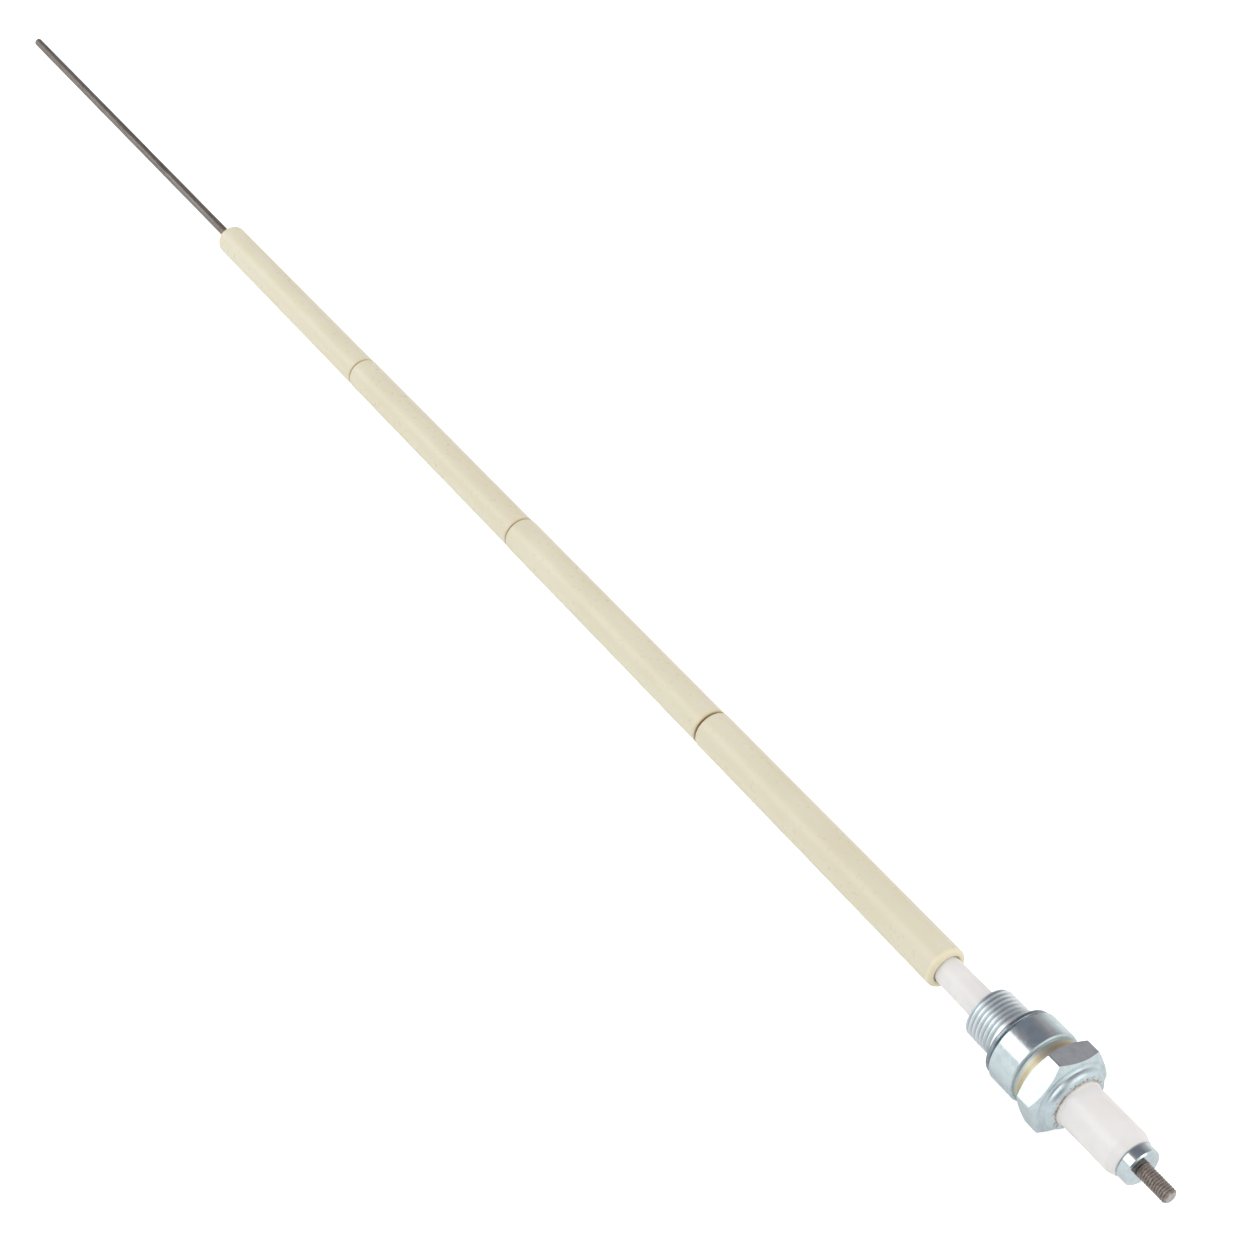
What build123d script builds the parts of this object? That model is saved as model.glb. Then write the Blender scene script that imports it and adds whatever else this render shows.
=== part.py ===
from build123d import *
import math
import os

os.makedirs("parts", exist_ok=True)

# Flame sensor probe. Lengths are millimetres, angles degrees.
# The probe lies along X: the flame end points to -X and the terminal to +X.
# X = 0 is the sealing plane, the free face of the captive gasket.

# ---- mounting thread, M14 x 1.25
thread_diameter = 14.0
thread_pitch = 1.25
thread_reach = 12.0  # from the collar's seat to the end of the thread
thread_start_round = 0.8
relief_length = 1.8  # undercut beside the collar, where the gasket turns
relief_depth = 0.1  # below the thread's root

# ---- captive gasket
gasket_inset = 0.5  # its rim inside the collar's
gasket_thickness = 1.3
gasket_hold = 0.3  # how far its bore reaches in past the thread's crest
gasket_edge_round = 0.5
gasket_end_clearance = 0.1

# ---- collar, shrink groove, hexagon and crimp
collar_diameter = 20.0
collar_length = 8.2
collar_seat_chamfer = 0.6
collar_shoulder_round = 0.7
groove_depth = 0.9
groove_length = 2.9
hex_across_flats = 20.8
hex_length = 6.2
hex_face_step = 0.5  # from the flats in to the start of the chamfer, on both end faces
hex_chamfer_angle = 30.0
hex_corner_round = 0.5
hex_turn = 19.3  # from +Z to the first corner, towards -Y
crimp_wall = 1.1
crimp_height = 2.3
crimp_roll = 1.7
crimp_pocket_round = 1.0
crimp_pocket_rise = 0.2  # from the start of the roll to the start of the pocket

# ---- inside of the shell
undercut_wall = 0.83  # of steel left inside the undercut
groove_wall = 1.6  # of steel left inside the shrink groove
lower_seat_width = 0.7
lower_seat_depth = 5.0  # below the collar's seat
core_bore_rise = 1.0  # above the collar's seat
step_rise = 1.5
insulator_clearance = 0.1  # all round the insulator in the shell
step_clearance = 0.3

# ---- seals
lower_ring_thickness = 0.7
upper_ring_wire = 1.0
seal_clearance = 0.05
glass_length = 7.0

# ---- insulator
nose_clearance = 0.6  # all round the nose's root in the shell
nose_taper = 0.4  # off the radius, from root to end
nose_edge_round = 0.4
lip_clearance = 0.15
neck_stand_out = 0.5  # past the crimp lip
neck_edge = 0.35
boot_diameter = 12.0
boot_top_height = 35.5  # above the collar's seat
terminal_taper = 0.8  # off the radius, at the terminal end
terminal_end_height = 37.9  # above the collar's seat
terminal_edge_round = 0.4
stud_bore_depth = 33.0

# ---- terminal, M4 x 0.7
stud_diameter = 4.0
stud_pitch = 0.7
stud_stand_out = 9.0  # past the nut
stud_end_chamfer = 0.6
stud_clearance = 0.3
stud_foot_step = 0.3
stud_foot_length = 3.0
foot_ring_count = 3
foot_ring_depth = 0.3
nut_diameter = 10.0
nut_thickness = 3.1
nut_edge_chamfer = 0.35
nut_thread_length = 2.0  # of the stud's thread, inside the nut

# ---- electrode rod
rod_diameter = 3.0
rod_reach = 600.0  # from the end of the mounting thread to the tip
rod_tip_round = 1.0
rod_clearance = 0.1
rod_head_clearance = 0.2
rod_head_length = 1.2
stop_length = 2.4
stop_overlap = 0.6  # past the bead's bore on each side
stop_thickness = 2.0
stop_corner_round = 0.7

# ---- bead tubes
bead_length = 100.0
bead_diameters = [10.3, 10.55, 10.85, 11.2]  # extruded tubes vary a little
bead_clearance = 0.3  # all round the rod
bead_edge_round = 0.45
bead_bore_chamfer = 0.3
bead_gaps = [0.15, 0.15, 0.5]  # between beads 1 and 2, 2 and 3, 3 and 4
bead_stop_gap = 0.15
socket_depth = 8.5
socket_clearance = 0.2
socket_edge_share = 0.65  # of the wall round the socket
socket_chamfer_share = 0.18
socket_floor_gap = 0.15
nose_bare_length = 15.1  # from the end of the thread to the last bead

# ---- metric thread form, as shares of the pitch
thread_depth_share = 0.6134
crest_flat_share = 0.125
root_flat_share = 0.25
cutter_overlap_share = 0.08

# ---- stations along X that several pieces share
seat_x = gasket_thickness + gasket_end_clearance
thread_end_x = seat_x - thread_reach
relief_x = seat_x - relief_length
collar_top_x = seat_x + collar_length
hex_base_x = collar_top_x + groove_length
hex_top_x = hex_base_x + hex_length
lip_end_x = hex_top_x + crimp_height
roll_x = lip_end_x - crimp_roll
pocket_x = roll_x + crimp_pocket_rise
insulator_top_x = seat_x + terminal_end_height
stud_bore_floor_x = insulator_top_x - stud_bore_depth
head_top_x = stud_bore_floor_x + rod_head_length
glass_top_x = head_top_x + glass_length
nut_face_x = insulator_top_x + nut_thickness
stud_end_x = nut_face_x + stud_stand_out
bead_stack_x = thread_end_x - nose_bare_length
nose_end_x = bead_stack_x - socket_depth + socket_floor_gap
tip_x = thread_end_x - rod_reach

# ---- radii that several pieces share
thread_radius = thread_diameter / 2
relief_radius = thread_radius - thread_depth_share * thread_pitch - relief_depth
collar_radius = collar_diameter / 2
groove_radius = collar_radius - groove_depth
body_bore = groove_radius - groove_wall
core_bore = relief_radius - undercut_wall
nose_bore = core_bore - lower_seat_width
body_radius = body_bore - insulator_clearance
core_radius = core_bore - insulator_clearance
nose_root_radius = nose_bore - nose_clearance
nose_end_radius = nose_root_radius - nose_taper
mouth_radius = body_bore - crimp_pocket_round
neck_radius = mouth_radius - lip_clearance
rod_radius = rod_diameter / 2
rod_bore = rod_radius + rod_clearance
bead_bore = rod_radius + bead_clearance
stud_radius = stud_diameter / 2
stud_bore = stud_radius + stud_clearance

# ---- seats inside the shell: both cones rise 1 mm outward for each mm along X
lower_seat_x = seat_x - lower_seat_depth
core_x = lower_seat_x + core_bore - nose_bore
core_top_x = seat_x + core_bore_rise
body_floor_x = core_top_x + step_rise
upper_ring_radius = body_bore - seal_clearance - upper_ring_wire / 2
shoulder_sum = pocket_x + upper_ring_radius - math.sqrt(2) * (upper_ring_wire / 2 + seal_clearance)


def thread_groove(radius, pitch, start_x, turns, towards):
    """The helical V groove of an outside metric thread, as a solid to cut away.

    It starts clear of the work and ends inside it: a groove that leaves the work at both ends cuts nothing.
    """
    depth = thread_depth_share * pitch
    over = cutter_overlap_share * pitch
    flank = (1 - crest_flat_share - root_flat_share) * pitch / 2
    root = root_flat_share * pitch / 2
    mouth = root + flank * (depth + over) / depth
    with BuildPart() as groove:
        with BuildLine() as path:
            Helix(pitch, turns * pitch, radius - depth, center=(start_x, 0, 0), direction=(towards, 0, 0))
        with BuildSketch(Plane(origin=path.line @ 0, x_dir=(towards, 0, 0), z_dir=path.line % 0)):
            Polygon((-root, 0), (root, 0), (mouth, depth + over), (-mouth, depth + over), align=None)
        sweep(is_frenet=True)
    return groove.part


def check_thread(volume_before, volume_after, groove):
    """A helical cut can fail without an error, and then the work keeps its volume."""
    if volume_before - volume_after < groove.volume / 2:
        raise ValueError("the thread wasn't cut")


def finish(piece, name):
    piece.part.label = name
    export_step(piece.part, f"parts/{name}.step")


# ---- hexagon of the shell, chamfered on both faces
hex_corner_radius = hex_across_flats / 2 / math.cos(math.radians(30))
hex_face_radius = hex_across_flats / 2 - hex_face_step
hex_chamfer_rise = math.tan(math.radians(hex_chamfer_angle)) * (hex_corner_radius - hex_face_radius)

with BuildPart() as hexagon:
    with BuildSketch(Plane.YZ.offset(hex_base_x)):
        RegularPolygon(hex_corner_radius, 6, rotation=90 + hex_turn)
        fillet(vertices(), hex_corner_round)
    extrude(amount=hex_length)
    with BuildSketch(Plane.XZ):
        with BuildLine():
            Polyline(
                (hex_base_x, 0),
                (hex_base_x, hex_face_radius),
                (hex_base_x + hex_chamfer_rise, hex_corner_radius),
                (hex_top_x - hex_chamfer_rise, hex_corner_radius),
                (hex_top_x, hex_face_radius),
                (hex_top_x, 0),
                close=True,
            )
        make_face()
    revolve(axis=Axis.X, mode=Mode.INTERSECT)

# ---- shell: thread, collar, shrink groove, hexagon and crimp lip in one piece of steel
mount_start_x = thread_end_x - thread_pitch / 2
mount_turns = math.floor((relief_x - mount_start_x) / thread_pitch)
mount_groove = thread_groove(thread_radius, thread_pitch, mount_start_x, mount_turns, 1)
crimp_radius = body_bore + crimp_wall
roll_radius = crimp_radius - crimp_roll
thread_foot = (thread_end_x, thread_radius - thread_start_round)
thread_crest = (thread_end_x + thread_start_round, thread_radius)
shoulder_edge = (collar_top_x - collar_shoulder_round, collar_radius)
shoulder_foot = (collar_top_x, collar_radius - collar_shoulder_round)
roll_start = (roll_x, crimp_radius)
roll_end = (lip_end_x, roll_radius)
pocket_start = (pocket_x, body_bore)
pocket_end = (pocket_x + crimp_pocket_round, mouth_radius)

with BuildPart() as shell:
    with BuildSketch(Plane.XZ):
        with BuildLine():
            RadiusArc(thread_foot, thread_crest, thread_start_round)
            Polyline(
                thread_crest,
                (relief_x, thread_radius),
                (relief_x + thread_radius - relief_radius, relief_radius),
                (seat_x, relief_radius),
                (seat_x, collar_radius - collar_seat_chamfer),
                (seat_x + collar_seat_chamfer, collar_radius),
                shoulder_edge,
            )
            RadiusArc(shoulder_edge, shoulder_foot, collar_shoulder_round)
            Polyline(
                shoulder_foot,
                (collar_top_x, groove_radius),
                (hex_top_x, groove_radius),
                (hex_top_x, crimp_radius),
                roll_start,
            )
            RadiusArc(roll_start, roll_end, crimp_roll)
            Polyline(roll_end, (lip_end_x, 0), (thread_end_x, 0), thread_foot)
        make_face()
    revolve(axis=Axis.X)
    add(hexagon.part)
    with BuildSketch(Plane.XZ):
        with BuildLine():
            Polyline(
                (thread_end_x, 0),
                (thread_end_x, nose_bore),
                (lower_seat_x, nose_bore),
                (core_x, core_bore),
                (core_top_x, core_bore),
                (body_floor_x, body_bore),
                pocket_start,
            )
            RadiusArc(pocket_start, pocket_end, crimp_pocket_round)
            Polyline(pocket_end, (lip_end_x, mouth_radius), (lip_end_x, 0), (thread_end_x, 0))
        make_face()
    revolve(axis=Axis.X, mode=Mode.SUBTRACT)
    uncut_volume = shell.part.volume
    add(mount_groove, mode=Mode.SUBTRACT)
check_thread(uncut_volume, shell.part.volume, mount_groove)
finish(shell, "shell")

# ---- captive gasket: turns in the undercut, and can't pass the thread's crest
gasket_bore = thread_radius - gasket_hold
gasket_radius = collar_radius - gasket_inset

with BuildPart() as gasket_ring:
    with BuildSketch(Plane.XZ):
        with Locations((gasket_thickness / 2, (gasket_radius + gasket_bore) / 2)):
            Rectangle(gasket_thickness, gasket_radius - gasket_bore)
        fillet(vertices(), gasket_edge_round)
    revolve(axis=Axis.X)
finish(gasket_ring, "gasket_ring")

# ---- insulator: one ceramic body with a rod bore below and a stud bore above
insulator_seat_x = lower_seat_x + lower_ring_thickness
nose_root_x = insulator_seat_x + nose_root_radius - nose_bore
boot_radius = boot_diameter / 2
terminal_end_radius = boot_radius - terminal_taper
neck_top_x = lip_end_x + neck_stand_out

with BuildPart() as insulator:
    with BuildSketch(Plane.XZ):
        with BuildLine():
            Polyline(
                (nose_end_x, rod_bore),
                (nose_end_x, nose_end_radius),
                (nose_root_x, nose_root_radius),
                (insulator_seat_x + core_radius - nose_bore, core_radius),
                (core_top_x + step_clearance, core_radius),
                (body_floor_x + step_clearance, body_radius),
                (shoulder_sum - body_radius, body_radius),
                (shoulder_sum - neck_radius, neck_radius),
                (neck_top_x, neck_radius),
                (neck_top_x + neck_edge, boot_radius),
                (seat_x + boot_top_height, boot_radius),
                (insulator_top_x, terminal_end_radius),
                (insulator_top_x, stud_bore),
                (stud_bore_floor_x, stud_bore),
                (stud_bore_floor_x, rod_bore),
                close=True,
            )
        make_face()
        fillet(vertices().sort_by_distance((nose_end_x, nose_end_radius))[0], nose_edge_round)
        fillet(vertices().sort_by_distance((neck_top_x, neck_radius))[0], neck_edge / 2)
        fillet(vertices().sort_by_distance((insulator_top_x, terminal_end_radius))[0], terminal_edge_round)
    revolve(axis=Axis.X)
finish(insulator, "insulator")

# ---- lower seal: a conical washer between the two cones
washer_inner = nose_bore + insulator_clearance
washer_outer = core_radius

with BuildPart() as lower_seal_ring:
    with BuildSketch(Plane.XZ):
        Polygon(
            (lower_seat_x + washer_inner - nose_bore, washer_inner),
            (lower_seat_x + washer_outer - nose_bore, washer_outer),
            (insulator_seat_x + washer_outer - nose_bore, washer_outer),
            (insulator_seat_x + washer_inner - nose_bore, washer_inner),
            align=None,
        )
    revolve(axis=Axis.X)
finish(lower_seal_ring, "lower_seal_ring")

# ---- upper seal: a wire ring that the crimp lip presses on the insulator's shoulder
with BuildPart() as upper_seal_ring:
    with BuildSketch(Plane.XZ):
        with Locations((pocket_x, upper_ring_radius)):
            Circle(upper_ring_wire / 2)
    revolve(axis=Axis.X)
finish(upper_seal_ring, "upper_seal_ring")

# ---- terminal stud: ringed foot in the glass, plain shank, threaded end
foot_radius = stud_radius - stud_foot_step
foot_x = glass_top_x - stud_foot_length
foot_ring_pitch = stud_foot_length / foot_ring_count
stud_turns = math.floor((stud_stand_out + nut_thread_length) / stud_pitch)
stud_groove = thread_groove(stud_radius, stud_pitch, stud_end_x + stud_pitch / 2, stud_turns, -1)

with BuildPart() as terminal_stud:
    with BuildSketch(Plane.XZ):
        with BuildLine():
            Polyline(
                (foot_x, 0),
                (foot_x, foot_radius),
                (glass_top_x, foot_radius),
                (glass_top_x, stud_radius),
                (stud_end_x - stud_end_chamfer, stud_radius),
                (stud_end_x, stud_radius - stud_end_chamfer),
                (stud_end_x, 0),
                close=True,
            )
        make_face()
    revolve(axis=Axis.X)
    with BuildSketch(Plane.XZ):
        for ring in range(foot_ring_count):
            with Locations((foot_x + (ring + 0.5) * foot_ring_pitch, foot_radius)):
                Rectangle(foot_ring_pitch / 2, 2 * foot_ring_depth)
    revolve(axis=Axis.X, mode=Mode.SUBTRACT)
    uncut_volume = terminal_stud.part.volume
    add(stud_groove, mode=Mode.SUBTRACT)
check_thread(uncut_volume, terminal_stud.part.volume, stud_groove)
finish(terminal_stud, "terminal_stud")

# ---- terminal nut: round, seated on the insulator's end
with BuildPart() as terminal_nut:
    with BuildSketch(Plane.YZ.offset(insulator_top_x)):
        Circle(nut_diameter / 2)
    extrude(amount=nut_thickness)
    chamfer(edges().filter_by(GeomType.CIRCLE), nut_edge_chamfer)
    with BuildSketch(Plane.YZ.offset(insulator_top_x)):
        Circle(stud_radius)
    extrude(amount=nut_thickness, mode=Mode.SUBTRACT)
finish(terminal_nut, "terminal_nut")

# ---- places of the beads along X: the last one stands at the insulator's nose
bead_ends = [bead_stack_x]
for gap in reversed(bead_gaps):
    bead_ends.insert(0, bead_ends[0] - bead_length - gap)
first_bead_x = bead_ends[0] - bead_length

# ---- electrode rod: drawn wire with an upset head and a swaged stop for the beads
stop_x = first_bead_x - bead_stop_gap - stop_length / 2
stop_width = 2 * (bead_bore + stop_overlap)
head_radius = stud_bore - rod_head_clearance

with BuildPart() as electrode_rod:
    with BuildSketch(Plane.XZ):
        with BuildLine():
            Polyline(
                (tip_x, 0),
                (tip_x, rod_radius),
                (stud_bore_floor_x, rod_radius),
                (stud_bore_floor_x, head_radius),
                (head_top_x, head_radius),
                (head_top_x, 0),
                close=True,
            )
        make_face()
        fillet(vertices().sort_by_distance((tip_x, rod_radius))[0], rod_tip_round)
    revolve(axis=Axis.X)
    with BuildSketch(Plane.XY.offset(-stop_thickness / 2)):
        with Locations((stop_x, 0)):
            Rectangle(stop_length, stop_width)
        fillet(vertices(), stop_corner_round)
    extrude(amount=stop_thickness)
    for side in (1, -1):
        with BuildSketch(Plane.XY.offset(side * stop_thickness / 2)):
            with Locations((stop_x, 0)):
                Rectangle(stop_length, rod_diameter)
        extrude(amount=side * rod_radius, mode=Mode.SUBTRACT)
finish(electrode_rod, "electrode_rod")

# ---- glass seal: fills the bore between the rod's head and the stud's foot
with BuildPart() as glass_seal:
    with BuildSketch(Plane.YZ.offset(head_top_x)):
        Circle(stud_bore)
    extrude(amount=glass_length)
    add(terminal_stud.part, mode=Mode.SUBTRACT)
finish(glass_seal, "glass_seal")

# ---- bead tubes: bead 1 is at the flame end, the last one takes the insulator's nose
nose_slope = nose_taper / (nose_root_x - nose_end_x)
nose_at_bead = nose_end_radius + nose_slope * (bead_stack_x - nose_end_x)
socket_bore = nose_at_bead + socket_clearance

for number, end_x in enumerate(bead_ends, start=1):
    with_socket = number == len(bead_ends)
    start_x = end_x - bead_length
    bead_radius = bead_diameters[number - 1] / 2
    mouth = socket_bore if with_socket else bead_bore
    end_round = socket_edge_share * (bead_radius - mouth) if with_socket else bead_edge_round
    mouth_chamfer = socket_chamfer_share * (bead_radius - mouth) if with_socket else bead_bore_chamfer
    with BuildPart() as bead:
        with BuildSketch(Plane.XZ):
            with Locations(((start_x + end_x) / 2, (bead_radius + bead_bore) / 2)):
                Rectangle(bead_length, bead_radius - bead_bore)
            if with_socket:
                with Locations((end_x - socket_depth / 2, (bead_bore + socket_bore) / 2)):
                    Rectangle(socket_depth, socket_bore - bead_bore, mode=Mode.SUBTRACT)
            fillet(vertices().sort_by_distance((start_x, bead_radius))[0], bead_edge_round)
            fillet(vertices().sort_by_distance((end_x, bead_radius))[0], end_round)
            chamfer(vertices().sort_by_distance((start_x, bead_bore))[0], bead_bore_chamfer)
            chamfer(vertices().sort_by_distance((end_x, mouth))[0], mouth_chamfer)
        revolve(axis=Axis.X)
    finish(bead, f"bead_{number}")

print(f"overall length {stud_end_x - tip_x:.1f} mm, insertion length {-tip_x:.1f} mm")
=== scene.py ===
import math
import random
import bmesh
import bpy
from mathutils import Matrix, Vector


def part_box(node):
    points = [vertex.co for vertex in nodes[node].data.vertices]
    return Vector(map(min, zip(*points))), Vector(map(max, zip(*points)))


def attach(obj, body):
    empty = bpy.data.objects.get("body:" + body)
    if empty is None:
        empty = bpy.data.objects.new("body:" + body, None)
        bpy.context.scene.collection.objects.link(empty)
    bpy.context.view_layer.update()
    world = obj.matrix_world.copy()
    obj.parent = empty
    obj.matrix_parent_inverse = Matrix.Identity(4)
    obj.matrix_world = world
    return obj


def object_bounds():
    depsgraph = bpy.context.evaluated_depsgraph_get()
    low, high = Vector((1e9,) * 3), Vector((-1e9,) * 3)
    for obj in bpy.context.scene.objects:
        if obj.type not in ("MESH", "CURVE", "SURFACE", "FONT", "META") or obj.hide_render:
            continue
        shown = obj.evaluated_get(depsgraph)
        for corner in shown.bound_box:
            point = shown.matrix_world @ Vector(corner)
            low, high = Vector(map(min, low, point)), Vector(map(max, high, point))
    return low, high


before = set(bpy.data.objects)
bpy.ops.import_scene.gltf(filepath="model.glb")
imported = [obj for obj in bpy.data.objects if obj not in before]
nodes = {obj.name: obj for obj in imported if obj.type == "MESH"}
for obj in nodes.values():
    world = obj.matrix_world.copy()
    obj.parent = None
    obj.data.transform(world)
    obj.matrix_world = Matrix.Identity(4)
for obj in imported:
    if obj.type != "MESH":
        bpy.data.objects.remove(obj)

# Flame sensor probe in metres. X runs along the probe: 0 at the sealing face, flame end at -X.

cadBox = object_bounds()
scene = bpy.context.scene
scene.view_settings.view_transform = "Standard"
print("frame loaded,", len(nodes), "nodes")

white = (1, 1, 1, 1)


# nodes and mixes that every material uses

def addNode(tree, kind, inputs=None, **settings):
    node = tree.nodes.new("ShaderNode" + kind)
    for name, value in settings.items():
        setattr(node, name, value)
    for name, value in (inputs or {}).items():
        if isinstance(value, bpy.types.NodeSocket):
            tree.links.new(value, node.inputs[name])
        else:
            node.inputs[name].default_value = value
    return node


def addRamp(tree, value, stops, **settings):
    ramp = addNode(tree, "ValToRGB", {"Fac": value})
    for name, setting in settings.items():
        setattr(ramp.color_ramp, name, setting)
    marks = ramp.color_ramp.elements
    while len(marks) < len(stops):
        marks.new(0.5)
    for mark, (place, colour) in zip(marks, stops):
        mark.position = place
        mark.color = colour
    return ramp.outputs["Color"]


def tint(tree, base, colour, mask):
    # colour over base, as far as the mask lets it
    node = tree.nodes.new("ShaderNodeMix")
    node.data_type = "RGBA"
    sockets = {socket.identifier: socket for socket in node.inputs}
    for identifier, value in (("Factor_Float", mask), ("A_Color", base), ("B_Color", colour)):
        if isinstance(value, bpy.types.NodeSocket):
            tree.links.new(value, sockets[identifier])
        else:
            sockets[identifier].default_value = value
    return next(socket for socket in node.outputs if socket.identifier == "Result_Color")


def mathNode(tree, operation, first, second=0.0, **settings):
    node = addNode(tree, "Math", {0: first, 1: second}, operation=operation, **settings)
    return node.outputs["Value"]


def both(tree, first, second):
    return mathNode(tree, "MULTIPLY", first, second)


def between(tree, mask, low, high):
    node = addNode(tree, "MapRange", {"Value": mask, "To Min": low, "To Max": high})
    return node.outputs["Result"]


def atLeast(tree, value, least, mask):
    return mathNode(tree, "MAXIMUM", value, both(tree, mask, least))


def objectPlace(tree):
    return addNode(tree, "TexCoord").outputs["Object"]


def objectStation(tree):
    # distance along the probe
    return addNode(tree, "SeparateXYZ", {0: objectPlace(tree)}).outputs["X"]


def objectRadius(tree):
    # distance from the probe's axis
    inputs = {0: objectPlace(tree), 1: (0, 1, 1)}
    across = addNode(tree, "VectorMath", inputs, operation="MULTIPLY").outputs["Vector"]
    return addNode(tree, "VectorMath", {0: across}, operation="LENGTH").outputs["Value"]


# camera

cameraSetup = {
    "azimuth": 58.014,
    "elevation": 39.221,
    "lens": 68.17,
    "sensor": 36.0,
    "place": (0.25382, -0.26542, 0.41455),
    "nearest": 0.01,
    "farthest": 20,
}


def directionFrom(azimuth, elevation):
    turn, rise = math.radians(azimuth), math.radians(elevation)
    flat = math.cos(rise)
    return Vector((math.sin(turn) * flat, -math.cos(turn) * flat, math.sin(rise)))


def makeCamera():
    data = bpy.data.cameras.new("camera")
    data.lens = cameraSetup["lens"]
    data.sensor_width = cameraSetup["sensor"]
    data.clip_start = cameraSetup["nearest"]
    data.clip_end = cameraSetup["farthest"]
    holder = bpy.data.objects.new("camera", data)
    scene.collection.objects.link(holder)
    back = directionFrom(cameraSetup["azimuth"], cameraSetup["elevation"])
    holder.location = cameraSetup["place"]
    holder.rotation_euler = back.to_track_quat("Z", "Y").to_euler()
    scene.camera = holder


makeCamera()
print("camera made")


# room: pale all round, with a dark part overhead and a dark figure below the camera

room = {
    "ceilingTowards": (-0.40, 0.24, 0.885),
    "ceilingShades": [            # by nearness to that direction: 0.5 is at right angles to it
        (0.00, (0.95, 0.97, 0.97, 1)),
        (0.50, (0.94, 0.96, 0.96, 1)),
        (0.70, (0.70, 0.71, 0.69, 1)),
        (0.90, (0.44, 0.38, 0.40, 1)),
        (0.95, (0.27, 0.26, 0.28, 1)),
        (1.00, (0.22, 0.225, 0.27, 1)),
    ],
    "figureTowards": (0.70, -0.66, 0.15),
    "figureShades": [
        (0.85, white),
        (0.94, (0.34, 0.35, 0.40, 1)),
        (1.00, (0.22, 0.22, 0.27, 1)),
    ],
    "strength": 1.0,
}


def makeRoom():
    world = bpy.data.worlds.new("room")
    scene.world = world
    world.use_nodes = True
    tree = world.node_tree
    tree.nodes.clear()
    look = addNode(tree, "TexCoord").outputs["Generated"]
    shades = []
    for part in ("ceiling", "figure"):
        aim = Vector(room[part + "Towards"]).normalized()
        near = addNode(tree, "VectorMath", {0: look, 1: aim}, operation="DOT_PRODUCT")
        inputs = {"Value": near.outputs["Value"], "From Min": -1, "From Max": 1}
        share = addNode(tree, "MapRange", inputs).outputs["Result"]
        shades.append(addRamp(tree, share, room[part + "Shades"], interpolation="EASE"))
    mix = addNode(tree, "VectorMath", {0: shades[0], 1: shades[1]}, operation="MULTIPLY")
    seen = addNode(tree, "LightPath").outputs["Is Camera Ray"]
    colour = tint(tree, mix.outputs["Vector"], white, seen)   # plain white behind the probe
    light = addNode(tree, "Background", {"Color": colour, "Strength": room["strength"]})
    addNode(tree, "OutputWorld", {"Surface": light.outputs["Background"]})


makeRoom()
print("room made")


# floor: a light table, so most of the shadow is filled in

floorSheet = {
    "drop": 0.0002,               # below the hexagon's lowest corner
    "size": 12.0,
    "middle": (-0.3, 0),
    "colour": (0.84, 0.85, 0.85, 1),
    "roughness": 0.9,
    "shine": 0.1,
    "glow": 0.72,
    "nearGlow": 0.12,             # under the probe, as the metal mirrors it
    "farGlow": 0.45,              # in front of it
    "farSpan": (-0.15, -0.9),
}


def floorMaterial():
    material = bpy.data.materials.new("floorPaper")
    material.use_nodes = True
    tree = material.node_tree
    shader = tree.nodes["Principled BSDF"]
    shader.inputs["Base Color"].default_value = floorSheet["colour"]
    shader.inputs["Roughness"].default_value = floorSheet["roughness"]
    shader.inputs["Specular IOR Level"].default_value = floorSheet["shine"]
    shader.inputs["Emission Color"].default_value = white
    near, far = floorSheet["farSpan"]
    inputs = {
        "Value": addNode(tree, "SeparateXYZ", {0: objectPlace(tree)}).outputs["Y"],
        "From Min": near,
        "From Max": far,
        "To Min": floorSheet["nearGlow"],
        "To Max": floorSheet["farGlow"],
    }
    mirrored = addNode(tree, "MapRange", inputs, interpolation_type="SMOOTHSTEP")
    rays = addNode(tree, "LightPath").outputs["Is Camera Ray"]
    inputs = {"Factor": rays, "A": mirrored.outputs["Result"], "B": floorSheet["glow"]}
    glow = addNode(tree, "Mix", inputs).outputs["Result"]
    tree.links.new(glow, shader.inputs["Emission Strength"])
    return material


def makeFloor():
    work = bmesh.new()
    bmesh.ops.create_grid(work, x_segments=1, y_segments=1, size=floorSheet["size"] / 2)
    low = cadBox[0].z - floorSheet["drop"]
    bmesh.ops.translate(work, verts=work.verts, vec=(*floorSheet["middle"], low))
    mesh = bpy.data.meshes.new("floor")
    work.to_mesh(mesh)
    work.free()
    floor = bpy.data.objects.new("floor", mesh)
    scene.collection.objects.link(floor)
    mesh.materials.append(floorMaterial())


makeFloor()
print("floor made")


# soft lights

softboxes = {
    "keySoftbox": {
        "place": (-1.1, -0.79, 0.71),
        "size": (2.8, 0.77),
        "power": 8.4,
        "aim": (-1.1, 0, 0),
        "mirrored": True,
    },
    "sideSoftbox": {
        "place": (0.75, 0.50, 0.75),
        "size": (0.9, 0.8),
        "power": 2.0,
        "aim": (0, 0, 0),
        "mirrored": True,
    },
    "fillSoftbox": {
        "place": (-0.4, 0.65, 1.05),
        "size": (2.5, 1.0),
        "power": 6.0,
        "aim": (-0.4, 0, 0),
        "mirrored": False,        # the metal still mirrors a dark ceiling
    },
}


def addSoftbox(name, setup):
    lamp = bpy.data.lights.new(name, "AREA")
    lamp.shape = "RECTANGLE"
    lamp.size, lamp.size_y = setup["size"]
    lamp.energy = setup["power"]
    holder = bpy.data.objects.new(name, lamp)
    scene.collection.objects.link(holder)
    holder.location = setup["place"]
    back = Vector(setup["place"]) - Vector(setup["aim"])
    holder.rotation_euler = back.to_track_quat("Z", "Y").to_euler()
    holder.visible_glossy = setup["mirrored"]


for name, setup in softboxes.items():
    addSoftbox(name, setup)
print("lights made")


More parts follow.
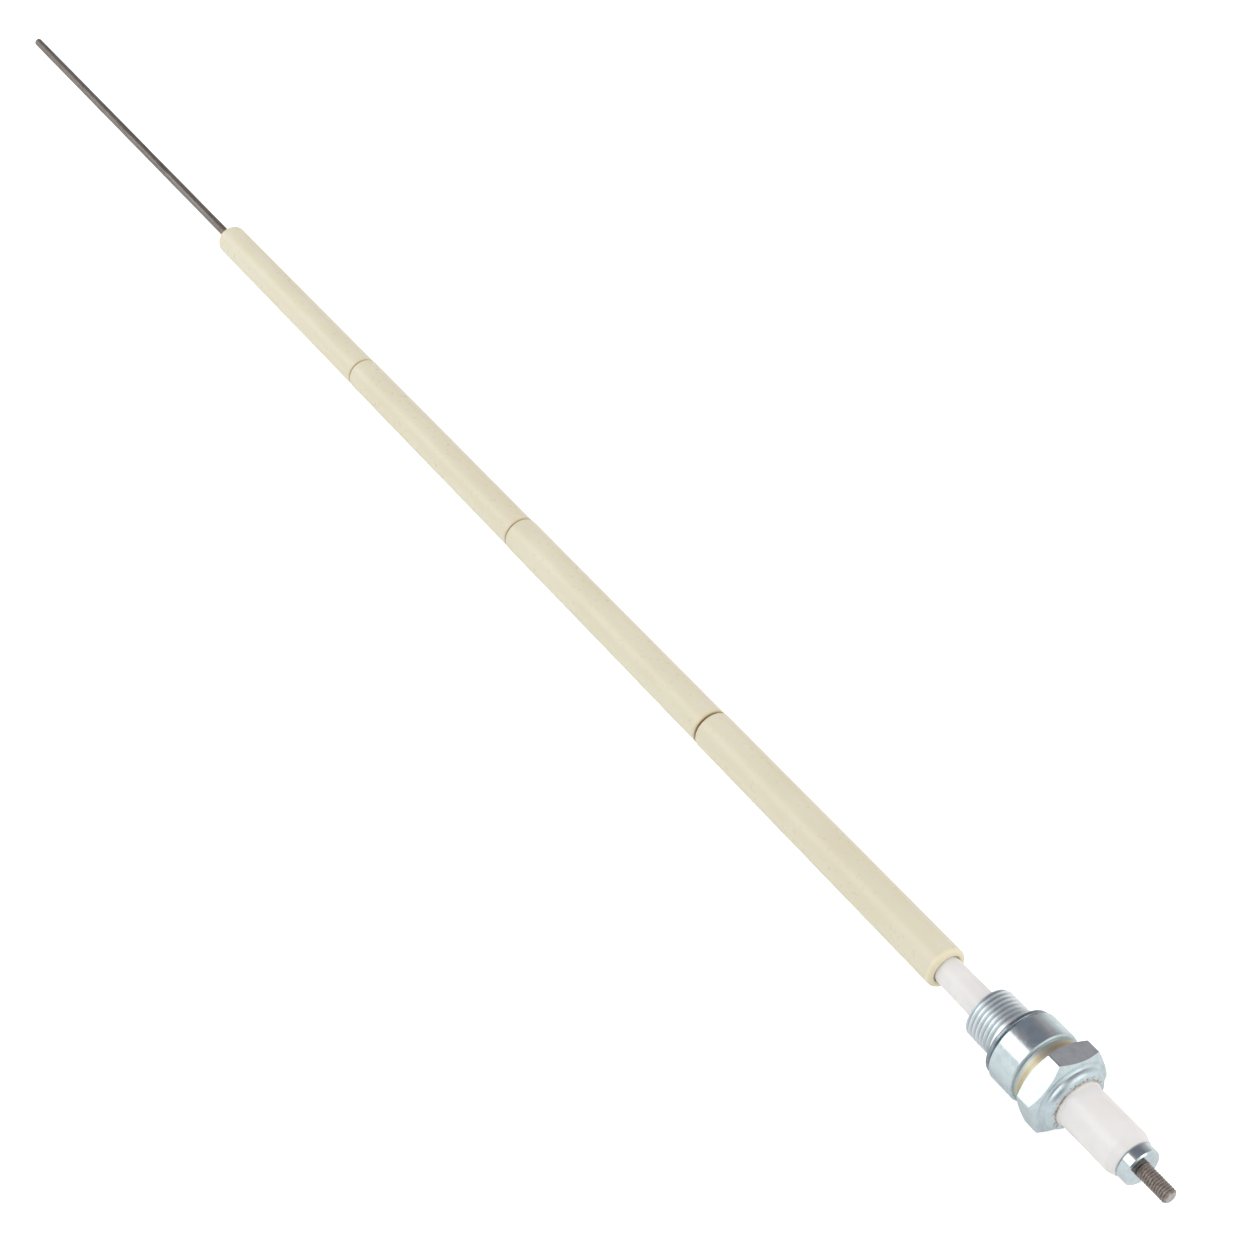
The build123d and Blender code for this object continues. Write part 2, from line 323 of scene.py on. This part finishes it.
# shared effects, each a node group that any material can use

def startGroup(name, inputs, outputs):
    tree = bpy.data.node_groups.new(name, "ShaderNodeTree")
    for label, kind, value in inputs:
        kind = "NodeSocket" + kind
        socket = tree.interface.new_socket(label, in_out="INPUT", socket_type=kind)
        socket.default_value = value
    for label, kind in outputs:
        tree.interface.new_socket(label, in_out="OUTPUT", socket_type="NodeSocket" + kind)
    given = tree.nodes.new("NodeGroupInput").outputs
    result = tree.nodes.new("NodeGroupOutput").inputs
    return tree, given, result


def makeStationMask():
    # 1 between two stations along the probe, with the blur centred on each of them
    tree, given, result = startGroup(
        "stationMask",
        [("From", "Float", 0.0), ("To", "Float", 0.01), ("Blur", "Float", 0.001)],
        [("Mask", "Float")],
    )
    station = objectStation(tree)
    sides = []
    for first, second in ((station, given["From"]), (given["To"], station)):
        inside = mathNode(tree, "SUBTRACT", first, second)
        share = mathNode(tree, "DIVIDE", inside, given["Blur"])
        sides.append(mathNode(tree, "ADD", share, 0.5, use_clamp=True))
    tree.links.new(both(tree, *sides), result["Mask"])
    return tree


def makeRadiusMask():
    # 0 at the inner radius, 1 at the outer one
    tree, given, result = startGroup(
        "radiusMask",
        [("Inner", "Float", 0.006), ("Outer", "Float", 0.007)],
        [("Mask", "Float")],
    )
    inputs = {"Value": objectRadius(tree), "From Min": given["Inner"], "From Max": given["Outer"]}
    share = addNode(tree, "MapRange", inputs)
    tree.links.new(share.outputs["Result"], result["Mask"])
    return tree


def makeTurnedLines():
    # fine rings left by the lathe, on barrels and on end faces alike
    tree, given, result = startGroup(
        "turnedLines",
        [("Lines", "Float", 9000.0), ("Depth", "Float", 1.0)],
        [("Height", "Float")],
    )
    inputs = {"X": objectStation(tree), "Y": objectRadius(tree)}
    spot = addNode(tree, "CombineXYZ", inputs).outputs["Vector"]
    inputs = {"Vector": spot, "Scale": given["Lines"], "Detail": 2.0, "Roughness": 0.6}
    noise = addNode(tree, "TexNoise", inputs)
    tree.links.new(both(tree, noise.outputs["Fac"], given["Depth"]), result["Height"])
    return tree


def makeGrain():
    # cloudy or streaky noise: a stretch below 1 draws it out along that axis
    tree, given, result = startGroup(
        "grain",
        [
            ("Scale", "Float", 300.0),
            ("Stretch", "Vector", (1, 1, 1)),
            ("Low", "Float", 0.3),
            ("High", "Float", 0.7),
            ("Detail", "Float", 4.0),
        ],
        [("Mask", "Float")],
    )
    inputs = {0: objectPlace(tree), 1: given["Stretch"]}
    drawn = addNode(tree, "VectorMath", inputs, operation="MULTIPLY").outputs["Vector"]
    inputs = {"Vector": drawn, "Scale": given["Scale"], "Detail": given["Detail"]}
    noise = addNode(tree, "TexNoise", inputs)
    inputs = {"Value": noise.outputs["Fac"], "From Min": given["Low"], "From Max": given["High"]}
    share = addNode(tree, "MapRange", inputs, interpolation_type="SMOOTHSTEP")
    tree.links.new(share.outputs["Result"], result["Mask"])
    return tree


def makeSpecks():
    # scattered small dots: a cell's own number says whether it has one, and how big
    tree, given, result = startGroup(
        "specks",
        [("Scale", "Float", 900.0), ("Size", "Float", 0.25), ("Amount", "Float", 0.5)],
        [("Mask", "Float")],
    )
    inputs = {"Vector": objectPlace(tree), "Scale": given["Scale"]}
    cells = addNode(tree, "TexVoronoi", inputs)
    pick = addNode(tree, "SeparateColor", {"Color": cells.outputs["Color"]}).outputs["Red"]
    chosen = mathNode(tree, "LESS_THAN", pick, given["Amount"])
    grown = both(tree, given["Size"], mathNode(tree, "ADD", pick, 0.5))
    inputs = {"Value": cells.outputs["Distance"], "From Min": grown, "From Max": 0.0}
    dot = addNode(tree, "MapRange", inputs, interpolation_type="SMOOTHSTEP")
    tree.links.new(both(tree, dot.outputs["Result"], chosen), result["Mask"])
    return tree


groups = {
    "stationMask": makeStationMask(),
    "radiusMask": makeRadiusMask(),
    "turnedLines": makeTurnedLines(),
    "grain": makeGrain(),
    "specks": makeSpecks(),
}
print("shared effects made")


def startMaterial(name, **sockets):
    material = bpy.data.materials.new(name)
    material.use_nodes = True
    tree = material.node_tree
    shader = tree.nodes["Principled BSDF"]
    for label, value in sockets.items():
        shader.inputs[label.replace("_", " ")].default_value = value
    return material, tree, shader


def effect(tree, name, values):
    node = tree.nodes.new("ShaderNodeGroup")
    node.node_tree = groups[name]
    for label, value in values.items():
        node.inputs[label].default_value = value
    return node.outputs[0]


def raiseSurface(tree, shader, height, distance):
    bump = addNode(tree, "Bump", {"Height": height, "Distance": distance, "Strength": 1.0})
    tree.links.new(bump.outputs["Normal"], shader.inputs["Normal"])


def dress(name, material):
    node = nodes[name]
    for place in range(len(node.data.materials)):
        node.data.materials[place] = material
    if not node.data.materials:
        node.data.materials.append(material)


# zinc plated shell, gasket and nut

plating = {                       # what all three share
    "cloud": {"Scale": 420.0, "Low": 0.35, "High": 0.70},
    "dull": {"Scale": 1500.0, "Low": 0.3, "High": 0.8},
    "rings": {"Lines": 7000.0, "Depth": 0.6},
    "ringHeight": 0.000004,
}
shell = {
    "zinc": (0.69, 0.79, 0.81, 1),
    "zincShade": (0.60, 0.70, 0.735, 1),
    "roughness": (0.15, 0.27),
    "thread": {"From": -0.0110, "To": -0.0004, "Blur": 0.0001},
    # painted shade: the zinc is painted darker from each crest down into the thread root
    "rootShadeRadii": {"Inner": 0.00690, "Outer": 0.00630},       # from the crest to the root
    # painted light: the thread's zinc is painted much brighter than the collar's, standing in for
    # the light its flanks reflect
    "threadPaintedLight": (0.95, 0.99, 1.0, 1),
    "threadRootPaintedShade": (0.62, 0.69, 0.72, 1),
    "threadRoughness": 0.42,
    "groove": {"From": 0.0097, "To": 0.0125, "Blur": 0.0003},
    "grooveZinc": (0.60, 0.61, 0.55, 1),
    "grooveRoughness": 0.50,
    "edge": {"From": 0.0090, "To": 0.0099, "Blur": 0.0004},    # of the collar, by the groove
    "edgeRoughness": 0.46,
    "crimp": {"From": 0.0182, "To": 0.0230, "Blur": 0.0006},
    "crimpRoughness": 0.38,
    "heat": {"From": 0.0109, "To": 0.0118, "Blur": 0.0004},    # straw ring in the groove
    "heatTint": (0.62, 0.46, 0.16, 1),
    "heatPatches": {"Scale": 260.0, "Low": 0.30, "High": 0.62},
    "heatStrength": (0.25, 0.85),
    "mouth": {"From": 0.0196, "To": 0.0215, "Blur": 0.0005},
    "mouthRadii": {"Inner": 0.0082, "Outer": 0.0073},
    "specks": {"Scale": 1300.0, "Size": 0.75, "Amount": 0.45},
    "speck": (0.26, 0.16, 0.07, 1),
    "speckMetallic": 0.2,
}
# painted shade: the gasket's zinc is painted dark, for the dark reflection along its thin ring
gasket = {
    "zinc": (0.36, 0.42, 0.45, 1),
    "zincShade": (0.27, 0.32, 0.35, 1),
    "roughness": (0.2, 0.34),
}
nut = {
    "zinc": (0.68, 0.77, 0.79, 1),
    "zincShade": (0.60, 0.69, 0.72, 1),
    "roughness": (0.10, 0.2),
}


# real heat tint, groove tone and cement specks, with painted light on the thread and painted
# shade in its roots
def addShellMarksAndPaintedLight(tree, shader, colour, rough):
    thread = effect(tree, "stationMask", shell["thread"])
    # painted light: the thread painted brighter than the rest of the shell
    colour = tint(tree, colour, shell["threadPaintedLight"], thread)
    rough = atLeast(tree, rough, shell["threadRoughness"], thread)
    # painted shade in the thread roots
    rootShade = effect(tree, "radiusMask", shell["rootShadeRadii"])
    colour = tint(tree, colour, shell["threadRootPaintedShade"], both(tree, thread, rootShade))

    groove = effect(tree, "stationMask", shell["groove"])
    colour = tint(tree, colour, shell["grooveZinc"], groove)
    rough = atLeast(tree, rough, shell["grooveRoughness"], groove)
    edge = effect(tree, "stationMask", shell["edge"])
    rough = atLeast(tree, rough, shell["edgeRoughness"], edge)
    crimp = effect(tree, "stationMask", shell["crimp"])
    rough = atLeast(tree, rough, shell["crimpRoughness"], crimp)

    heat = effect(tree, "stationMask", shell["heat"])
    patches = effect(tree, "grain", shell["heatPatches"])
    strength = between(tree, patches, *shell["heatStrength"])
    colour = tint(tree, colour, shell["heatTint"], both(tree, heat, strength))

    mouth = effect(tree, "stationMask", shell["mouth"])
    wall = effect(tree, "radiusMask", shell["mouthRadii"])
    dots = both(tree, both(tree, mouth, wall), effect(tree, "specks", shell["specks"]))
    colour = tint(tree, colour, shell["speck"], dots)
    tree.links.new(between(tree, dots, 1.0, shell["speckMetallic"]), shader.inputs["Metallic"])
    return colour, rough


def zincMaterial(name, finish, withShellMarksAndPaintedLight):
    material, tree, shader = startMaterial(name, Metallic=1.0)
    cloud = effect(tree, "grain", plating["cloud"])
    colour = tint(tree, finish["zinc"], finish["zincShade"], cloud)
    rough = between(tree, effect(tree, "grain", plating["dull"]), *finish["roughness"])
    if withShellMarksAndPaintedLight:
        colour, rough = addShellMarksAndPaintedLight(tree, shader, colour, rough)
    tree.links.new(colour, shader.inputs["Base Color"])
    tree.links.new(rough, shader.inputs["Roughness"])
    rings = effect(tree, "turnedLines", plating["rings"])
    raiseSurface(tree, shader, rings, plating["ringHeight"])
    return material


dress("shell", zincMaterial("platedSteel", shell, True))
# the gasket gets the darker zinc: painted shade
dress("gasket_ring", zincMaterial("gasketSteelPaintedShade", gasket, False))
dress("terminal_nut", zincMaterial("nutPlate", nut, False))
print("plated parts finished")


# new pieces

def addPiece(name, work, material, body):
    bmesh.ops.recalc_face_normals(work, faces=work.faces)
    for face in work.faces:
        face.smooth = True
    mesh = bpy.data.meshes.new(name)
    work.to_mesh(mesh)
    work.free()
    piece = bpy.data.objects.new(name, mesh)
    scene.collection.objects.link(piece)
    mesh.materials.append(material)
    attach(piece, body)


def spinRound(work, steps):
    bmesh.ops.spin(
        work,
        geom=work.verts[:] + work.edges[:],
        cent=(0, 0, 0),
        axis=(1, 0, 0),
        angle=2 * math.pi,
        steps=steps,
        use_merge=True,
    )


# crimp foot: the hollow blend from the hexagon's end face up to the crimp lip

crimpFoot = {
    "lipHeight": 0.0023,          # from the hexagon's end face to the shell's end
    "lipRadius": 0.0086,
    "blend": 0.0010,
    "blendSteps": 8,
    "rise": 0.00101,
    "proud": 0.00001,
    "sunk": 0.00015,
    "steps": 128,
}


def makeCrimpFoot():
    work = bmesh.new()
    sunk, rise, proud = crimpFoot["sunk"], crimpFoot["rise"], crimpFoot["proud"]
    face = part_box("shell")[1].x - crimpFoot["lipHeight"] + proud
    lip = crimpFoot["lipRadius"] + proud
    outline = [
        (face - sunk, lip + rise),
        (face, lip + rise),
        (face, lip),
        (face + rise, lip),
        (face + rise, lip - sunk),
        (face - sunk, lip - sunk),
    ]
    corners = [work.verts.new((x, 0, radius)) for x, radius in outline]
    for first, second in zip(corners, corners[1:] + corners[:1]):
        work.edges.new((first, second))
    bmesh.ops.bevel(
        work,
        geom=[corners[2]],
        offset=crimpFoot["blend"],
        affect="VERTICES",
        segments=crimpFoot["blendSteps"],
        profile=0.5,
        material=-1,
    )
    spinRound(work, crimpFoot["steps"])
    plated = bpy.data.materials["platedSteel"]
    addPiece("crimp_foot", work, plated, "housing")


makeCrimpFoot()
print("crimp foot made")


# mouth cement: an uneven bead of it where the insulator leaves the crimp

mouthCement = {
    "proud": 0.00002,             # of the shell's end
    "radius": 0.00643,
    "thickness": 0.00016,
    "sides": 8,
    "steps": 160,
    "seed": 7,
    "unevenness": 0.00009,
    "smoothing": 0.5,
    "pale": (0.70, 0.66, 0.60, 1),
    "ochre": (0.48, 0.36, 0.22, 1),
    "dark": (0.10, 0.06, 0.035, 1),
    "roughness": 0.85,
    "cloud": {"Scale": 1500.0, "Low": 0.35, "High": 0.6},
    "cloudHeight": 0.00005,
    "specks": {"Scale": 2200.0, "Size": 0.6, "Amount": 0.35},
}


def cementMaterial():
    material, tree, shader = startMaterial("mouthCement", Roughness=mouthCement["roughness"])
    cloud = effect(tree, "grain", mouthCement["cloud"])
    colour = tint(tree, mouthCement["pale"], mouthCement["ochre"], cloud)
    dots = effect(tree, "specks", mouthCement["specks"])
    colour = tint(tree, colour, mouthCement["dark"], dots)
    tree.links.new(colour, shader.inputs["Base Color"])
    raiseSurface(tree, shader, cloud, mouthCement["cloudHeight"])
    return material


def makeMouthCement():
    random.seed(mouthCement["seed"])
    work = bmesh.new()
    sides, thickness = mouthCement["sides"], mouthCement["thickness"]
    bmesh.ops.create_circle(work, segments=sides, radius=thickness)
    turn = Matrix.Rotation(math.pi / 2, 3, "X")
    bmesh.ops.rotate(work, verts=work.verts, cent=(0, 0, 0), matrix=turn)
    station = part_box("shell")[1].x + mouthCement["proud"]
    bmesh.ops.translate(work, verts=work.verts, vec=(station, 0, mouthCement["radius"]))
    spinRound(work, mouthCement["steps"])
    nudge = mouthCement["unevenness"]
    for vert in work.verts:
        vert.co += Vector((random.uniform(-nudge, nudge) for axis in range(3)))
    bmesh.ops.smooth_vert(
        work,
        verts=work.verts,
        factor=mouthCement["smoothing"],
        use_axis_x=True,
        use_axis_y=True,
        use_axis_z=True,
    )
    addPiece("mouth_cement", work, cementMaterial(), "housing")


makeMouthCement()
print("mouth cement made")


# glazed insulator

insulator = {
    "glaze": (0.90, 0.885, 0.86, 1),
    "glazeShade": (0.865, 0.845, 0.82, 1),
    "cloud": {"Scale": 160.0, "Low": 0.35, "High": 0.7},
    "roughness": 0.34,
    "coat": 0.25,
    "coatRoughness": 0.12,
    "depth": 0.25,                # how much light passes through the ceramic
    "depthRadius": (0.0026, 0.0023, 0.0020),
    "ripple": {"Scale": 240.0, "Low": 0.0, "High": 1.0, "Detail": 2.0},
    "rippleHeight": 0.00004,
}


def insulatorMaterial():
    material, tree, shader = startMaterial(
        "glazedAlumina",
        Roughness=insulator["roughness"],
        Coat_Roughness=insulator["coatRoughness"],
        Coat_Weight=insulator["coat"],
        Subsurface_Weight=insulator["depth"],
        Subsurface_Radius=insulator["depthRadius"],
        Subsurface_Scale=1.0,
    )
    cloud = effect(tree, "grain", insulator["cloud"])
    colour = tint(tree, insulator["glaze"], insulator["glazeShade"], cloud)
    tree.links.new(colour, shader.inputs["Base Color"])
    ripple = effect(tree, "grain", insulator["ripple"])
    raiseSurface(tree, shader, ripple, insulator["rippleHeight"])
    return material


dress("insulator", insulatorMaterial())
print("insulator finished")


# bead tubes

beads = {
    "cream": (0.80, 0.755, 0.575, 1),
    "creamShade": (0.765, 0.715, 0.53, 1),
    "cloud": {"Scale": 110.0, "Stretch": (0.35, 1, 1), "Low": 0.3, "High": 0.75},
    "specular": 0.5,
    "roughness": (0.27, 0.33),
    "polish": {"Scale": 700.0, "Low": 0.3, "High": 0.7},
    "streaks": {"Scale": 1300.0, "Stretch": (0.02, 1, 1), "Low": 0.2, "High": 0.8},
    "streakHeight": 0.000007,
    "pastEnd": 0.01,              # a rim's mask runs on this far past the end face
    "glow": (0.93, 0.85, 0.60, 1),          # warm light through the open end of bead 4
    "glowLength": 0.0012,
    "glowBlur": 0.0008,
    # painted shade: the rims that meet the next tube are painted warmer and darker
    "rimPaintedShade": (0.66, 0.50, 0.25, 1),         # rims that meet the next tube
    "rimPaintedShadeLength": 0.0006,
    "rimPaintedShadeBlur": 0.0012,
    "rimPaintedShadeStrength": 0.75,
    # dirt and painted shade: the end faces are painted brown for dirt in the gap and for its warm
    # shade
    "brown": (0.40, 0.29, 0.13, 1),         # end faces, seen as the line between two tubes
    "brownDepth": 0.00025,
    "brownBlur": 0.0002,
    "brownStrength": 0.8,
}


def rimMask(tree, end, length, blur):
    values = {"From": end - length, "To": end + beads["pastEnd"], "Blur": blur}
    return effect(tree, "stationMask", values)


def beadMaterial(name):
    low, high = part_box(name)
    material, tree, shader = startMaterial(
        "beadCeramic_" + name[-1],
        Specular_IOR_Level=beads["specular"],
    )
    cloud = effect(tree, "grain", beads["cloud"])
    colour = tint(tree, beads["cream"], beads["creamShade"], cloud)
    if name == "bead_4":
        faces = (low.x,)
        rim = rimMask(tree, high.x, beads["glowLength"], beads["glowBlur"])
        colour = tint(tree, colour, beads["glow"], rim)
    else:
        faces = (low.x, high.x)
        # painted warm shade on the rim by the next tube
        rim = rimMask(tree, high.x, beads["rimPaintedShadeLength"], beads["rimPaintedShadeBlur"])
        colour = tint(tree, colour, beads["rimPaintedShade"], both(tree, rim, beads["rimPaintedShadeStrength"]))
    depth = beads["brownDepth"]
    # dirt and painted shade on each end face
    for face in faces:
        values = {"From": face - depth, "To": face + depth, "Blur": beads["brownBlur"]}
        gapDirtAndShade = effect(tree, "stationMask", values)
        colour = tint(tree, colour, beads["brown"], both(tree, gapDirtAndShade, beads["brownStrength"]))
    tree.links.new(colour, shader.inputs["Base Color"])
    rough = between(tree, effect(tree, "grain", beads["polish"]), *beads["roughness"])
    tree.links.new(rough, shader.inputs["Roughness"])
    streaks = effect(tree, "grain", beads["streaks"])
    raiseSurface(tree, shader, streaks, beads["streakHeight"])
    return material


for name in ("bead_1", "bead_2", "bead_3", "bead_4"):
    dress(name, beadMaterial(name))
print("beads finished")


# electrode rod

rod = {
    "alloy": (0.235, 0.215, 0.195, 1),
    "alloyShade": (0.13, 0.118, 0.108, 1),
    "metallic": 0.9,
    "roughness": (0.30, 0.48),
    "cloud": {"Scale": 180.0, "Stretch": (0.3, 1, 1), "Low": 0.35, "High": 0.7},
    "streaks": {"Scale": 1600.0, "Stretch": (0.03, 1, 1), "Low": 0.3, "High": 0.7},
    "streakStrength": (0.5, 1.0),
    "streakHeight": 0.00002,
    "scale": (0.30, 0.28, 0.255, 1),        # grey patches of oxide
    "scalePatches": {"Scale": 1000.0, "Stretch": (0.6, 1, 1), "Low": 0.45, "High": 0.62},
    "scaleStrength": 0.5,
    "warm": (0.30, 0.20, 0.15, 1),          # brown where the rod enters bead 1
    "warmSpan": {"From": -0.436, "To": -0.424, "Blur": 0.012},
    "warmStrength": 0.5,
}


def rodMaterial():
    material, tree, shader = startMaterial("rodAlloy", Metallic=rod["metallic"])
    streaks = effect(tree, "grain", rod["streaks"])
    cloud = effect(tree, "grain", rod["cloud"])
    shade = both(tree, cloud, between(tree, streaks, *rod["streakStrength"]))
    colour = tint(tree, rod["alloy"], rod["alloyShade"], shade)
    patches = effect(tree, "grain", rod["scalePatches"])
    colour = tint(tree, colour, rod["scale"], both(tree, patches, rod["scaleStrength"]))
    warm = effect(tree, "stationMask", rod["warmSpan"])
    colour = tint(tree, colour, rod["warm"], both(tree, warm, rod["warmStrength"]))
    tree.links.new(colour, shader.inputs["Base Color"])
    rough = between(tree, streaks, *rod["roughness"])
    tree.links.new(rough, shader.inputs["Roughness"])
    raiseSurface(tree, shader, streaks, rod["streakHeight"])
    return material


dress("electrode_rod", rodMaterial())
print("rod finished")


# terminal stud

stud = {
    "steel": (0.42, 0.365, 0.33, 1),
    "steelShade": (0.25, 0.21, 0.185, 1),
    "metallic": 0.6,
    "roughness": (0.5, 0.7),
    "cloud": {"Scale": 1400.0, "Low": 0.35, "High": 0.7},
    "cloudHeight": 0.00002,
    "bright": (0.60, 0.57, 0.53, 1),        # bare steel on the crests and the end face
    "crestRadii": {"Inner": 0.00185, "Outer": 0.00203},
    "crestStrength": 0.35,
    "endDepth": 0.00004,
    "endBlur": 0.00006,
    "endStrength": 0.8,
    "pastEnd": 1.0,
}


def studMaterial():
    material, tree, shader = startMaterial("studSteel", Metallic=stud["metallic"])
    cloud = effect(tree, "grain", stud["cloud"])
    colour = tint(tree, stud["steel"], stud["steelShade"], cloud)
    crest = effect(tree, "radiusMask", stud["crestRadii"])
    colour = tint(tree, colour, stud["bright"], both(tree, crest, stud["crestStrength"]))
    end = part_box("terminal_stud")[1].x - stud["endDepth"]
    values = {"From": end, "To": stud["pastEnd"], "Blur": stud["endBlur"]}
    endFace = effect(tree, "stationMask", values)
    colour = tint(tree, colour, stud["bright"], both(tree, endFace, stud["endStrength"]))
    tree.links.new(colour, shader.inputs["Base Color"])
    tree.links.new(between(tree, cloud, *stud["roughness"]), shader.inputs["Roughness"])
    raiseSurface(tree, shader, cloud, stud["cloudHeight"])
    return material


dress("terminal_stud", studMaterial())
print("stud finished")


# seals inside the shell

sealSurface = {                   # what all three share
    "cloud": {"Scale": 900.0, "Low": 0.3, "High": 0.7},
    "cloudHeight": 0.00002,
    "shade": 0.7,
    "roughnessSpread": 0.15,
}
seals = {
    "lower_seal_ring": {
        "material": "sealCopper",
        "colour": (0.72, 0.38, 0.22, 1),
        "metallic": 1.0,
        "roughness": 0.3,
    },
    "upper_seal_ring": {
        "material": "sealWire",
        "colour": (0.30, 0.31, 0.32, 1),
        "metallic": 1.0,
        "roughness": 0.35,
    },
    "glass_seal": {
        "material": "sealGlass",
        "colour": (0.30, 0.40, 0.34, 1),
        "metallic": 0.0,
        "roughness": 0.2,
    },
}


def sealMaterial(seal):
    material, tree, shader = startMaterial(seal["material"], Metallic=seal["metallic"])
    cloud = effect(tree, "grain", sealSurface["cloud"])
    darker = tuple(sealSurface["shade"] * part for part in seal["colour"][:3]) + (1,)
    tree.links.new(tint(tree, seal["colour"], darker, cloud), shader.inputs["Base Color"])
    smooth = seal["roughness"]
    rough = between(tree, cloud, smooth, smooth + sealSurface["roughnessSpread"])
    tree.links.new(rough, shader.inputs["Roughness"])
    raiseSurface(tree, shader, cloud, sealSurface["cloudHeight"])
    return material


for name, seal in seals.items():
    dress(name, sealMaterial(seal))
print("seals finished")
